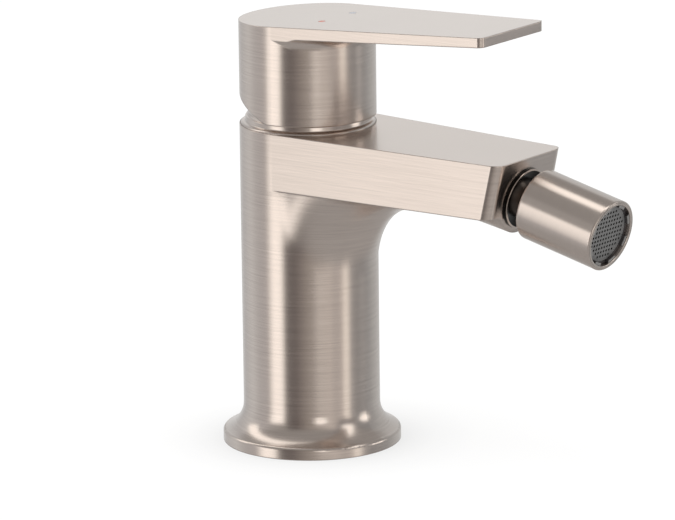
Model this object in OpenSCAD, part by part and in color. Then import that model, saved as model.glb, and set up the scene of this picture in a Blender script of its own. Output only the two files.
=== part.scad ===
// Single lever bidet mixer with a swivelling nozzle, in millimetres.
// Origin: centre of the mounting face. +Z up, +X along the spout and the lever.

/* [Column and flange] */
// Radius of the round column
column_r = 23; // [21.5:0.5:25]
// Height of the flat top of the spout above the deck
body_top = 109.2; // [106:0.2:116]
// Radius of the flange that stands on the deck
flange_r = 30; // [28.5:0.5:34]
// Height at which the flange's rounded edge has its centre
flange_edge_z = 3; // [2.8:0.2:4.4]
// Radius of the flange's rounded edge
flange_edge_r = 1.2; // [0.8:0.1:1.6]
// Radius of the hollow sweep from the flange up to the column
flange_cove_r = 9.5; // [8:0.5:10]
// Radius of the hollow inside the foot of the column, where the hoses run
hose_cavity_r = 18.6; // [17.6:0.2:19.4]
// Height of the roof of that hollow
hose_cavity_h = 45; // [36:1:50]

/* [Spout] */
// Reach of the spout's top front edge from the column's centre
spout_reach = 91.9; // [86:0.1:100]
// Angle by which each side of the spout runs in towards the front
spout_taper = 3.3; // [2:0.1:4]
// Depth of the spout's side face at the column
spout_side_h = 19.1; // [17.6:0.1:20]
// Rise of the spout's lower edge for each millimetre of reach
spout_edge_rise = 0.006; // [0:0.001:0.02]
// Radius of the two upright front corners of the spout
spout_corner_r = 4; // [3:0.1:6]
// Depth by which each corner's circle cuts the side, which leaves a fine edge there
corner_inset = 0.06; // [0.04:0.01:0.2]
// Angle by which the nozzle and the spout's front face lean down
nozzle_lean = 12.8; // [8:0.2:16]
// Distance down the front face from its top edge to the nozzle's centre
nozzle_drop = 14.25; // [13.6:0.05:15]
// Radius at the front face of the round boss that carries the nozzle
boss_front_r = 12.2; // [11.6:0.1:13]
// Angle by which that boss widens towards its back
boss_flare = 3; // [1:0.5:6]
// Amount by which the radius of the neck under the spout is less than the column's
neck_inset = 1; // [0.6:0.1:2]
// Radius of the hollow bend under the spout, seen from the side
bend_r = 26; // [20:0.5:28]
// Height at which the bend leaves the column
bend_z = 60; // [56:0.2:63]
// Loss of the belly's radius from the bend to the front, which lifts the spout's underside
belly_rise = 5; // [3:0.1:6]

/* [Waterways] */
// Radius of the hole that the cartridge's lower part stands in
chamber_r = 19; // [18.6:0.1:19.4]
// Radius of the band that guides the cartridge
guide_r = 17.5; // [17.5:0.1:18]
// Height of the seat that the cartridge stands on
seat_z = 74; // [72:0.5:76]
// Length of the guide band below the nut's thread
guide_h = 9; // [7:0.5:11]
// Depth of the nut's thread from the top of the body
nut_thread_h = 8.2; // [7.6:0.2:9]
// Radius of the channel from the cartridge to the nozzle
channel_r = 4.5; // [3.5:0.1:5]
// Height of the channel where it leaves the cartridge's chamber
channel_z = 87; // [85:0.5:89]
// Radius of the threaded inlets for the hoses
inlet_thread_r = 4.55; // [4.2:0.05:5]
// Depth of the inlet threads
inlet_thread_h = 12; // [9:0.5:15]
// Radius of the passages above the inlet threads
inlet_r = 3.4; // [2.8:0.1:3.8]
// Distance of the inlets in front of the column's centre
inlet_x = 4.5; // [3.5:0.1:5.5]
// Distance of each inlet to its side of the centre
inlet_y = 7.6; // [6.8:0.1:8.4]
// Radius of the threaded hole for the fixing stud
stud_hole_r = 3.4; // [3:0.1:4]
// Depth of the stud's threaded hole
stud_hole_h = 16; // [12:1:20]
// Distance of the stud hole behind the column's centre
stud_hole_x = 9.5; // [8:0.1:10.5]

/* [Base seal] */
// Middle radius of the seal in the foot
seal_mid_r = 25.6; // [24:0.1:26]
// Width of the seal in the foot
seal_w = 2.8; // [2:0.1:3.2]
// Thickness of the seal in the foot
seal_h = 2.2; // [1.6:0.1:2.6]

/* [Cartridge] */
// Outer radius of the cartridge
cartridge_r = 17.3; // [16.5:0.1:17.4]
// Thickness of the cartridge's base
cartridge_base_h = 6; // [5:0.2:7]
// Gap under the cartridge that its port seals bridge
cartridge_lift = 0.3; // [0.1:0.1:0.5]
// Wall of the cartridge's housing
housing_wall = 1.5; // [1.2:0.1:1.8]
// Thickness of the shoulder that the nut presses on
shoulder_h = 2.5; // [2:0.1:3]
// Outer radius of the housing's neck
housing_neck_r = 13; // [12.6:0.1:13.4]
// Height of the housing's neck above its shoulder
housing_neck_h = 10.5; // [9.5:0.5:11]
// Radius of the turret's neck
turret_neck_r = 11.45; // [11:0.05:11.5]
// Height of the turret's flange
turret_flange_h = 5.7; // [5:0.1:6]
// Radius of the fixed ceramic disc
fixed_disc_r = 12.5; // [12:0.1:13]
// Radius of the moving ceramic disc
moving_disc_r = 11.5; // [11:0.1:11.8]
// Thickness of each ceramic disc
disc_h = 3.5; // [3:0.1:3.8]
// Depth of the hollow under the moving disc
disc_hollow_h = 2; // [1.5:0.1:2.4]
// Height of the lever's pivot
pivot_z = 104; // [103.5:0.1:104.5]
// Distance from the pivot down to the ball on the stem's tip
stem_arm = 13.8; // [13.4:0.1:14.2]
// Radius of the ball on the stem's tip
stem_ball_r = 2.4; // [2:0.1:2.6]
// Thickness of the stem from front to back
stem_t = 7; // [6:0.1:7.6]
// Width of the stem
stem_w = 8; // [7:0.1:8.4]
// Length of the stem above the pivot
stem_up = 30; // [28:0.5:31]
// Radius of the pin that the stem rocks on
pin_r = 1.5; // [1.2:0.1:1.8]
// Angle through which the lever lifts
lift = 25; // [20:1:26]

/* [Nut and trim ring] */
// Height of the nut's threaded part
nut_h = 3.6; // [3:0.1:4]
// Distance across the flats of the nut's hexagon
nut_flats = 30; // [29:0.5:30.5]
// Height of the nut's hexagon
nut_hex_h = 3.8; // [3:0.1:4.2]
// Amount by which the trim ring's radius is less than the column's
trim_inset = 0.2; // [0:0.05:1]
// Radius of the trim ring's rounded edge
trim_edge_r = 1.4; // [1:0.1:1.8]
// Step from the trim ring's edge in to its upright neck
trim_step = 2.7; // [2.4:0.1:3.2]
// Height of the trim ring above the body
trim_h = 4.2; // [3.6:0.1:4.4]
// Thickness of the trim ring's wall
trim_wall = 1.4; // [1.1:0.1:1.7]
// Depth of the trim ring's spigot in the body
spigot_h = 2.4; // [1.8:0.1:3]

/* [Handle] */
// Amount by which the handle's radius is less than the column's
handle_inset = 0.15; // [-0.5:0.05:1]
// Gap from the top of the body to the lower edge of the handle
handle_gap = 3; // [2.6:0.1:3.6]
// Height of the handle's top at its centre
handle_top = 145.45; // [143:0.05:148]
// Angle by which the lever's top rises
lever_rise = 3.58; // [2:0.02:5]
// Angle by which each side of the lever runs in
lever_taper = 3.86; // [2:0.02:5]
// Reach of the lever's tip from the handle's centre
lever_reach = 84.9; // [75:0.1:95]
// Thickness of the lever where it leaves the handle
lever_root_t = 4.22; // [3.8:0.02:5]
// Thickness lost for each millimetre of the lever's reach
lever_thinning = 0.0107; // [0:0.0001:0.015]
// Radius of the lever's two front corners
lever_corner_r = 2.4; // [1.5:0.1:4]
// Radius of the hollow sweep under the lever at the handle
lever_root_r = 4.9; // [3.5:0.1:5.5]
// Angle at which that sweep starts from the lever's lower edges and deepens forwards
root_dip = 18.5; // [16:0.5:22]
// Depth below those edges at which the middle line of the sweep starts
root_start = 0.7; // [0.6:0.05:1]
// Depth by which the deepening sweep cuts the handle, which leaves a fine line there
root_inset = 0.12; // [0.1:0.01:0.18]
// Wall of the handle's skirt
skirt_wall = 1.75; // [1.4:0.05:1.9]
// Thickness of the handle's ceiling
ceiling_t = 3.4; // [3:0.1:4]
// Angle of the cut that lets the back of the skirt dip
relief_angle = 22.7; // [20:0.1:25]
// Radius of the boss that holds the stem
boss_r = 7.6; // [7.2:0.1:8.2]
// Height above the pivot at which that boss starts
boss_start = 15.5; // [15:0.5:18]
// Height of the set screw above the pivot, along the stem
screw_z = 22.5; // [20:0.5:24]
// Radius of the set screw
screw_r = 2.45; // [2:0.05:2.5]
// Length of the set screw
screw_l = 8; // [6:0.5:10]
// Radius of the plug that covers the set screw
plug_r = 2.9; // [2.7:0.05:3.2]
// Length of the plug
plug_l = 3; // [2:0.1:4]
// Distance of the hot and cold dots in front of the handle's centre
dot_x = 12.8; // [8:0.1:16]
// Distance of each dot to its side
dot_y = 8.3; // [4:0.1:12]
// Radius of each dot
dot_r = 1.15; // [0.6:0.05:1.8]
// Depth of each dot in the lever
dot_h = 0.8; // [0.5:0.1:1.2]

/* [Ball joint] */
// Radius of the ball
ball_r = 7.4; // [7:0.1:7.6]
// Distance of the ball's centre behind the front face
ball_back = 3.5; // [3:0.1:4]
// Radius of the neck between the ball and the nozzle
ball_neck_r = 4.8; // [4.2:0.1:5]
// Radius of the water bore through the ball
ball_bore_r = 3.2; // [2.6:0.1:3.4]
// Radius of the threaded socket in the spout
socket_r = 9; // [8.8:0.05:9.2]
// Depth of the socket
socket_h = 12.4; // [12:0.1:13]
// Radius of the retainer's flange, which shows round the ball
retainer_r = 10.3; // [9.8:0.1:10.8]
// Height of the retainer's flange above the front face
retainer_h = 1.1; // [0.9:0.1:1.6]
// Width of the retainer's flat rim
retainer_rim = 0.6; // [0.4:0.05:1]
// Depth of the upright wall inside that rim
retainer_dish = 0.5; // [0.3:0.05:0.6]
// Depth to which the retainer reaches behind the front face
retainer_back = 4.6; // [4:0.1:5]
// Front of the seat ring behind the front face
seat_front = 5; // [4.8:0.1:5.4]
// Back of the seat ring behind the front face
seat_back = 10.6; // [10:0.1:10.8]
// Radius of the hole through the seat ring
seat_hole_r = 4.2; // [3.8:0.1:4.6]
// Tube radius of the rubber ring behind the seat
ball_seal_r = 0.8; // [0.6:0.05:0.85]

/* [Nozzle] */
// Distance from the spout's front face to the back of the nozzle
nozzle_gap = 5.9; // [5.7:0.1:7]
// Radius of the nozzle
nozzle_r = 12; // [11.6:0.1:12.4]
// Length of the nozzle
nozzle_l = 29.8; // [27:0.1:34]
// Thickness of the nozzle's back wall
nozzle_back_t = 5.5; // [4:0.1:6]
// Wall of the nozzle round the aerator
nozzle_wall = 1.5; // [1.2:0.1:1.7]
// Radius of the nozzle's rounded back edge
nozzle_edge_r = 0.8; // [0.4:0.1:1.2]
// Width of the bevel inside and outside the nozzle's rim
nozzle_bevel = 0.45; // [0.2:0.05:0.6]
// Length of the aerator's housing
aerator_l = 8.6; // [8:0.1:10]
// Depth of the aerator behind the nozzle's rim
aerator_recess = 0.3; // [0.1:0.1:1.2]
// Wall of the aerator's housing
aerator_wall = 1; // [0.8:0.1:1.4]
// Number of key notches in the aerator's rim
notch_n = 8; // [4:1:10]
// Width of each key notch
notch_w = 4.4; // [3:0.1:5]
// Depth of each key notch
notch_h = 1.2; // [0.8:0.1:1.6]
// Thickness of the rubber washer behind the aerator
washer_h = 1.5; // [1:0.1:2]
// Depth of the perforated grid behind the aerator's rim
grid_recess = 1.3; // [0.8:0.1:1.6]
// Thickness of the perforated grid
grid_h = 1; // [0.8:0.1:1.4]
// Distance between neighbouring holes of the grid
grid_pitch = 1.5; // [1.3:0.05:1.8]
// Radius of each hole of the grid
grid_hole_r = 0.45; // [0.3:0.05:0.6]

/* [Fits] */
// Clearance at each side of a moving fit
run_fit = 0.06; // [0.04:0.01:0.1]
// Clearance at each side between pieces that don't move on each other
seat_fit = 0.05; // [0.03:0.01:0.1]

/* [Hidden] */
$fn = 96;

// Overlap that makes a cut pass clean through a face
cut = 1;
// Size of the blocks that cut away half of space
far = 400;
// Colours, as red, green and blue
nickel = [0.72, 0.67, 0.62];
dark_metal = [0.35, 0.33, 0.32];
raw_brass = [0.80, 0.66, 0.36];
rubber_black = [0.10, 0.10, 0.10];
housing_grey = [0.80, 0.80, 0.78];
turret_white = [0.93, 0.93, 0.90];
ceramic_white = [0.97, 0.96, 0.94];
carrier_blue = [0.30, 0.42, 0.60];
acetal_black = [0.13, 0.13, 0.14];
hot_red = [0.80, 0.16, 0.14];
cold_blue = [0.16, 0.30, 0.72];

// Flange: centres of the rounded edge and of the hollow sweep that meets it
edge_x = flange_r - flange_edge_r;
cove_x = column_r + flange_cove_r;
cove_gap = 0.02;
cove_reach = flange_cove_r + flange_edge_r - cove_gap;
cove_z = flange_edge_z + sqrt(pow(cove_reach, 2) - pow(cove_x - edge_x, 2));
// Depth of a side's tangent point inside its circle, which keeps the outline clean
tangent_inset = 0.02;

// Nozzle axis: centre of the socket on the front face
socket_x = spout_reach - nozzle_drop * sin(nozzle_lean);
socket_z = body_top - nozzle_drop * cos(nozzle_lean);
// Neck: radius of its tube, middle line of its bend and the centre that it turns about
neck_r = column_r - neck_inset;
bend_mid_r = bend_r + neck_r;
bend_in = 0.05;
bend_x = column_r + bend_r - bend_in;
belly_z = bend_z + bend_mid_r;
belly_l = socket_x + nozzle_drop - bend_x;
boss_l = (socket_x - bend_x) / cos(nozzle_lean);

// Cartridge levels, from the seat upwards
base_z = seat_z + cartridge_lift;
base_top = base_z + cartridge_base_h;
spigot_up = 2;
disc_pocket_h = 1;
pocket_z = base_top - disc_pocket_h;
disc_lift = 0.3;
fixed_z = pocket_z + disc_lift;
lap_gap = 0.02;
moving_z = fixed_z + disc_h + lap_gap;
carrier_z = moving_z + disc_h + lap_gap;
chamber_in_r = cartridge_r - housing_wall;
nut_z = body_top - nut_thread_h;
shoulder_z = nut_z - lap_gap;
roof_z = shoulder_z - shoulder_h;
turret_gap = 0.2;
turret_z = roof_z - turret_gap - turret_flange_h;
turret_rise = 0.5;
turret_top = shoulder_z + housing_neck_h + turret_rise;
carrier_top = turret_z - turret_gap;
carrier_step_r = 4;
carrier_step_h = 2;
port_seal_tube = 0.8;
port_seal_r = inlet_r + port_seal_tube;
disc_seal_tube = 0.7;
// Ports in the fixed disc
disc_port_r = 2.2;
port_step_x = 2;
port_step_y = 2.1;
disc_port_x = inlet_x - port_step_x;
disc_port_y = inlet_y - port_step_y;
disc_out_r = 3;
disc_out_x = -5.5;
// Stem: lean at rest, ball pocket and swing slot
stem_lean = lift / 2;
carrier_x = -stem_arm * sin(stem_lean);
stem_tip_z = pivot_z - stem_arm;
stem_gap = 0.2;
arm_step = 0.6;
pocket_floor = stem_tip_z - stem_ball_r - stem_gap;
arm_r = stem_ball_r - arm_step;
slot_x = 6.8;
slot_y = stem_w / 2 + stem_gap;
pin_sink = 0.7;
pin_l = 2 * turret_neck_r - 2 * pin_sink;
turret_groove_drop = 3.6;
turret_groove_z = turret_top - turret_groove_drop;
turret_seal_tube = 0.85;
housing_groove_z = nut_z - guide_h / 2;
housing_seal_tube = 0.55;

// Handle
handle_low = body_top + handle_gap;
handle_r = column_r - handle_inset;
trim_r = column_r - trim_inset;
trim_neck_r = trim_r - trim_step;
skirt_in_r = handle_r - skirt_wall;
rise = tan(lever_rise);
stem_head_gap = 1;
stem_bore_top = stem_up + stem_head_gap;
tube_r = 4.6;
screw_gap = 1;
thread_l = screw_l + screw_gap;

// Ball joint and nozzle, as distances along the nozzle's axis from the front face
ball_s = -ball_back;
cup_r = ball_r + run_fit;
lip_s = -0.3;
flare_r = retainer_r - retainer_rim;
dish_s = retainer_h - retainer_dish;
lip_r = sqrt(pow(cup_r, 2) - pow(lip_s - ball_s, 2));
nozzle_s = nozzle_gap;
nozzle_end = nozzle_s + nozzle_l;
bore_r = nozzle_r - nozzle_wall;
aerator_s = nozzle_end - aerator_recess - aerator_l;
washer_s = aerator_s - washer_h;
insert_r = bore_r - seat_fit - aerator_wall - seat_fit;
shelf_w = 1.5;
waterway_r = bore_r - shelf_w;
grid_s = nozzle_end - aerator_recess - grid_recess - grid_h;
grid_margin = 0.6;
neck_washer_w = 2.2;
neck_washer_h = 1;
neck_end_gap = 0.4;
neck_end = nozzle_s + nozzle_back_t - neck_end_gap;
screen_h = 0.3;
screen_pitch = 1.4;
screen_gap = 0.8;
diffuser_h = 2;
diffuser_gap = 0.2;

// A ring of tube radius t at middle radius r
module o_ring(r, t) {
    rotate_extrude()
        translate([r, 0])
            circle(r = t);
}

// A tube between two radii
module ring(r_out, r_in, h) {
    difference() {
        cylinder(r = r_out, h = h);
        translate([0, 0, -cut])
            cylinder(r = r_in, h = h + 2 * cut);
    }
}

// Children stand on the nozzle's axis: z runs out along it from the front face
module on_nozzle(s = 0) {
    translate([socket_x, 0, socket_z])
        rotate([0, 90 + nozzle_lean, 0])
            translate([0, 0, s])
                children();
}

// Children stand on the stem: z runs up along it from the pivot
module on_stem() {
    translate([0, 0, pivot_z])
        rotate([0, stem_lean, 0])
            children();
}

// Outline seen from above: a circle with two straight sides that leave it and run in
module tear_outline(r, taper, reach) {
    inner = r - tangent_inset;
    circle(r = r);
    polygon([
        [inner * sin(taper), inner * cos(taper)],
        [reach, side_y(r, taper, reach)],
        [reach, -side_y(r, taper, reach)],
        [inner * sin(taper), -inner * cos(taper)]
    ]);
}

// Half width of that outline at distance x
function side_y(r, taper, x) = (r - tangent_inset) / cos(taper) - x * tan(taper);

// Outline that rounds one front corner of a tear outline whose half width at its reach is w.
// The reach is at x = 0 here, and the circle cuts the side at a shallow angle.
module corner_outline(side, w, r, taper) {
    centre_y = w + r * tan(taper) - (r - corner_inset) / cos(taper);
    foot_x = (r - corner_inset) * sin(taper) - r;
    translate([foot_x - far, -far / 2])
        square([far, far]);
    translate([-far, side > 0 ? -far / 2 : -centre_y])
        square([far, far / 2 + centre_y]);
    translate([-r, side * centre_y])
        circle(r = r);
}

// Column with its flange, as one turned profile
module column_solid() {
    rotate_extrude() {
        square([column_r, body_top]);
        square([edge_x, flange_edge_z]);
        translate([0, flange_edge_z])
            intersection() {
                translate([edge_x, 0])
                    circle(r = flange_edge_r);
                translate([edge_x - flange_edge_r, -flange_edge_z])
                    square([2 * flange_edge_r, flange_edge_z + flange_edge_r]);
            }
        translate([edge_x - cut, 0])
            square([cut + flange_edge_r, flange_edge_z]);
        difference() {
            polygon([
                [column_r - cut, 0],
                [edge_x, 0],
                [edge_x, flange_edge_z],
                [cove_x, cove_z],
                [column_r - cut, cove_z]
            ]);
            translate([cove_x, cove_z])
                circle(r = flange_cove_r);
        }
    }
}

// Plate of the spout: flat on top, with a lower edge that rises a little
module spout_plate() {
    plate_low = body_top - spout_side_h;
    plate_l = spout_reach + cut;
    rotate([90, 0, 0])
        translate([0, 0, -far / 2])
            linear_extrude(height = far)
                polygon([
                    [-column_r / 2, body_top],
                    [-column_r / 2, plate_low],
                    [0, plate_low],
                    [plate_l, plate_low + spout_edge_rise * plate_l],
                    [plate_l, body_top]
                ]);
}

// Round neck under the plate: a bend out of the column, the belly and the nozzle's boss
module spout_neck() {
    translate([bend_x, 0, bend_z])
        rotate([-90, 0, 0])
            rotate([0, 0, 180])
                rotate_extrude(angle = 90)
                    translate([bend_mid_r, 0])
                        circle(r = neck_r);
    translate([bend_x, 0, belly_z])
        rotate([0, 90, 0])
            cylinder(r1 = neck_r, r2 = neck_r - belly_rise, h = belly_l);
    on_nozzle(-boss_l)
        cylinder(r1 = boss_front_r + boss_l * tan(boss_flare),
            r2 = boss_front_r - cut * tan(boss_flare), h = boss_l + cut);
}

// Everything behind the leaning front face, with the corner of one side rounded
module spout_corner(side) {
    end_w = side_y(column_r, spout_taper, spout_reach);
    lean_taper = atan(tan(spout_taper) * cos(nozzle_lean));
    corner_roll = atan(tan(spout_taper) * sin(nozzle_lean));
    translate([spout_reach, 0, body_top])
        rotate([0, nozzle_lean, 0])
            rotate([side * corner_roll, 0, 0])
                translate([0, 0, -far / 2])
                    linear_extrude(height = far)
                        corner_outline(side, end_w, spout_corner_r, lean_taper);
}

// Spout: plate and neck together, trimmed to the tapered outline and the front face
module spout() {
    intersection() {
        union() {
            spout_plate();
            spout_neck();
        }
        linear_extrude(height = body_top)
            tear_outline(column_r, spout_taper, spout_reach + spout_side_h);
        spout_corner(1);
        spout_corner(-1);
    }
}

// Holes in the body: hose hollow, inlets, stud hole, cartridge chamber, channel and socket
module body_holes() {
    translate([0, 0, -cut])
        cylinder(r = hose_cavity_r, h = hose_cavity_h + cut);
    for (side = [-1, 1])
        translate([inlet_x, side * inlet_y, hose_cavity_h - cut]) {
            cylinder(r = inlet_thread_r, h = inlet_thread_h + cut);
            cylinder(r = inlet_r, h = seat_z - hose_cavity_h + 2 * cut);
        }
    translate([-stud_hole_x, 0, hose_cavity_h - cut])
        cylinder(r = stud_hole_r, h = stud_hole_h + cut);
    translate([0, 0, seat_z])
        cylinder(r = chamber_r, h = nut_z - guide_h - seat_z);
    translate([0, 0, seat_z + cut])
        cylinder(r = guide_r, h = body_top - seat_z);
    translate([0, 0, nut_z])
        cylinder(r = chamber_r, h = nut_thread_h + cut);
    water_channel();
    on_nozzle(-socket_h)
        cylinder(r = socket_r, h = socket_h + cut);
    translate([0, 0, -cut])
        ring(seal_mid_r + seal_w / 2 + seat_fit, seal_mid_r - seal_w / 2 - seat_fit,
            seal_h + seat_fit + cut);
}

// Straight channel from the cartridge's chamber up to the back of the socket
module water_channel() {
    channel_overlap = 3;
    start_x = chamber_r - channel_overlap;
    end_x = socket_x - (socket_h - cut) * cos(nozzle_lean);
    end_z = socket_z + (socket_h - cut) * sin(nozzle_lean);
    run = end_x - start_x;
    climb = end_z - channel_z;
    translate([start_x, 0, channel_z])
        rotate([0, 90 - atan2(climb, run), 0])
            cylinder(r = channel_r, h = sqrt(pow(run, 2) + pow(climb, 2)));
}

module body() {
    color(nickel)
        difference() {
            union() {
                column_solid();
                spout();
            }
            body_holes();
        }
}

// Flat rubber ring, flush with the mounting face
module base_seal() {
    color(rubber_black)
        ring(seal_mid_r + seal_w / 2, seal_mid_r - seal_w / 2, seal_h);
}

// Base of the cartridge, with two inlet ports and an outlet to its side
module cartridge_base() {
    color(housing_grey)
        difference() {
            union() {
                translate([0, 0, base_z])
                    cylinder(r = cartridge_r, h = cartridge_base_h);
                translate([0, 0, base_top - cut])
                    cylinder(r = chamber_in_r - seat_fit, h = spigot_up + cut);
            }
            translate([0, 0, pocket_z])
                cylinder(r = fixed_disc_r + seat_fit, h = far);
            for (side = [-1, 1]) {
                translate([inlet_x, side * inlet_y, base_z - cut])
                    cylinder(r = inlet_r - 0.4, h = cartridge_base_h / 2 + cut);
                translate([disc_port_x, side * disc_port_y, base_z + cartridge_base_h / 3])
                    cylinder(r = disc_port_r, h = cartridge_base_h);
                translate([inlet_x, side * inlet_y, base_z - cut])
                    cylinder(r = port_seal_r + port_seal_tube, h = cut + 2 * port_seal_tube - cartridge_lift);
                translate([disc_port_x, side * disc_port_y, pocket_z - 2 * disc_seal_tube + disc_lift])
                    cylinder(r = disc_port_r + 2 * disc_seal_tube, h = far);
            }
            translate([disc_out_x, 0, base_z + 1.2])
                cylinder(r = disc_out_r, h = far);
            translate([disc_out_x, 0, pocket_z - 2 * disc_seal_tube + disc_lift])
                cylinder(r = disc_out_r + 2 * disc_seal_tube, h = far);
            translate([-far, -disc_out_r, base_z + 1.2])
                cube([far + disc_out_x, 2 * disc_out_r, cartridge_base_h / 2 - 0.6]);
        }
}

// Rubber rings between the cartridge and its seat
module port_seals() {
    color(rubber_black)
        for (side = [-1, 1])
            translate([inlet_x, side * inlet_y, seat_z + port_seal_tube])
                o_ring(port_seal_r, port_seal_tube - lap_gap);
}

// Rubber rings between the base and the fixed disc
module disc_seals() {
    color(rubber_black) {
        for (side = [-1, 1])
            translate([disc_port_x, side * disc_port_y, fixed_z - disc_seal_tube])
                o_ring(disc_port_r + disc_seal_tube, disc_seal_tube - lap_gap);
        translate([disc_out_x, 0, fixed_z - disc_seal_tube])
            o_ring(disc_out_r + disc_seal_tube, disc_seal_tube - lap_gap);
    }
}

// Ceramic disc with the two inlet ports and the outlet
module fixed_disc() {
    color(ceramic_white)
        difference() {
            translate([0, 0, fixed_z])
                cylinder(r = fixed_disc_r, h = disc_h);
            for (side = [-1, 1])
                translate([disc_port_x, side * disc_port_y, fixed_z - cut])
                    cylinder(r = disc_port_r, h = disc_h + 2 * cut);
            translate([disc_out_x, 0, fixed_z - cut])
                cylinder(r = disc_out_r, h = disc_h + 2 * cut);
        }
}

// Shell of the cartridge, with the shoulder that the nut presses on and the turret's neck
module cartridge_housing() {
    color(housing_grey)
        difference() {
            union() {
                translate([0, 0, base_top + lap_gap])
                    cylinder(r = cartridge_r, h = shoulder_z - base_top - lap_gap);
                translate([0, 0, shoulder_z - cut])
                    cylinder(r = housing_neck_r, h = housing_neck_h + cut);
            }
            translate([0, 0, base_top - cut])
                cylinder(r = chamber_in_r, h = roof_z - base_top + cut);
            translate([0, 0, roof_z - cut])
                cylinder(r = turret_neck_r + run_fit, h = far);
            translate([0, 0, housing_groove_z - housing_seal_tube])
                ring(far / 4, guide_r - 2 * housing_seal_tube, 2 * housing_seal_tube);
        }
}

// Rubber ring that seals the housing in the body's guide band
module housing_seal() {
    color(rubber_black)
        translate([0, 0, housing_groove_z])
            o_ring(guide_r - housing_seal_tube - lap_gap, housing_seal_tube - 0.05);
}

// Threaded nut that clamps the cartridge down
module cartridge_nut() {
    color(raw_brass)
        difference() {
            union() {
                translate([0, 0, nut_z])
                    cylinder(r = chamber_r - seat_fit, h = nut_h);
                translate([0, 0, nut_z + nut_h - cut])
                    cylinder(r = nut_flats / 2 / cos(30), h = nut_hex_h + cut, $fn = 6);
            }
            translate([0, 0, nut_z - cut])
                cylinder(r = housing_neck_r + 2 * seat_fit, h = far);
        }
}

// Trim ring over the nut, with a rounded foot, an upright neck and a rounded top
module trim_ring() {
    hole_r = housing_neck_r + 1.2;
    top_r = trim_wall / 2;
    color(nickel)
        rotate_extrude() {
            translate([trim_r - trim_edge_r, body_top])
                intersection() {
                    circle(r = trim_edge_r);
                    square(trim_edge_r + cut);
                }
            translate([trim_neck_r - trim_wall, body_top])
                square([trim_r - trim_edge_r - trim_neck_r + trim_wall, trim_edge_r]);
            translate([trim_neck_r - trim_wall, body_top])
                square([trim_wall, trim_h - top_r]);
            translate([trim_neck_r - top_r, body_top + trim_h - top_r])
                circle(r = top_r);
            translate([hole_r, body_top + trim_h - trim_wall])
                square([trim_neck_r - top_r - hole_r, trim_wall]);
            translate([chamber_r - seat_fit - trim_wall, body_top - spigot_h])
                square([trim_wall, spigot_h + trim_wall]);
        }
}

// Ceramic disc that slides and turns, with the hollow that joins the ports
module moving_disc() {
    hollow_l = 10.6;
    hollow_w = 13;
    hollow_right = -0.6;
    color(ceramic_white)
        difference() {
            translate([carrier_x, 0, moving_z])
                cylinder(r = moving_disc_r, h = disc_h);
            translate([0, 0, moving_z - cut])
                linear_extrude(height = disc_hollow_h + cut)
                    intersection() {
                        translate([hollow_right - hollow_l, -hollow_w / 2])
                            square([hollow_l, hollow_w]);
                        translate([carrier_x, 0])
                            circle(r = moving_disc_r - 1.6);
                    }
            disc_pegs(0.05);
        }
}

// Pegs that lock the carrier to the moving disc
module disc_pegs(grow) {
    peg_x = 7.5;
    peg_r = 1.2;
    peg_h = 1.2;
    for (side = [-1, 1])
        translate([carrier_x + 2, side * peg_x, carrier_z - peg_h - grow])
            cylinder(r = peg_r + grow, h = peg_h + cut + grow);
}

// Carrier that the stem's ball moves, on top of the moving disc
module disc_carrier() {
    color(carrier_blue)
        difference() {
            union() {
                translate([carrier_x, 0, carrier_z])
                    cylinder(r = moving_disc_r, h = carrier_top - carrier_z - carrier_step_h);
                translate([carrier_x, 0, carrier_z])
                    cylinder(r = moving_disc_r - carrier_step_r, h = carrier_top - carrier_z);
                disc_pegs(0);
            }
            translate([carrier_x, 0, pocket_floor])
                cylinder(r = stem_ball_r + 0.1, h = far);
        }
}

// Turret that turns in the housing and carries the stem's pin
module turret() {
    color(turret_white)
        difference() {
            union() {
                translate([0, 0, turret_z])
                    cylinder(r = chamber_in_r - 0.3, h = turret_flange_h);
                translate([0, 0, turret_z])
                    cylinder(r = turret_neck_r, h = turret_top - turret_z);
            }
            translate([-slot_x, -slot_y, turret_z - cut])
                cube([2 * slot_x, 2 * slot_y, far]);
            translate([0, pin_l / 2 + cut, pivot_z])
                rotate([90, 0, 0])
                    cylinder(r = pin_r + seat_fit / 2, h = pin_l + 2 * cut);
            translate([0, 0, turret_groove_z - turret_seal_tube])
                ring(far / 4, turret_neck_r - 2 * turret_seal_tube, 2 * turret_seal_tube);
        }
}

// Rubber ring round the turret's neck
module turret_seal() {
    color(rubber_black)
        translate([0, 0, turret_groove_z])
            o_ring(turret_neck_r - turret_seal_tube + 0.02, turret_seal_tube - 0.05);
}

// Steel pin through the turret
module stem_pin() {
    color(dark_metal)
        translate([0, pin_l / 2, pivot_z])
            rotate([90, 0, 0])
                cylinder(r = pin_r, h = pin_l);
}

// Metal stem: a flat-sided shank, a hub on the pin and an arm with a ball
module stem() {
    color(dark_metal)
        on_stem()
            difference() {
                union() {
                    translate([-stem_t / 2, -stem_w / 2, 0])
                        cube([stem_t, stem_w, stem_up]);
                    rotate([90, 0, 0])
                        translate([0, 0, -stem_w / 2])
                            cylinder(r = stem_t / 2, h = stem_w);
                    translate([0, 0, -stem_arm])
                        cylinder(r = arm_r, h = stem_arm);
                    translate([0, 0, -stem_arm])
                        sphere(r = stem_ball_r);
                }
                rotate([90, 0, 0])
                    translate([0, 0, -stem_w])
                        cylinder(r = pin_r + run_fit, h = 2 * stem_w);
            }
}

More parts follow.
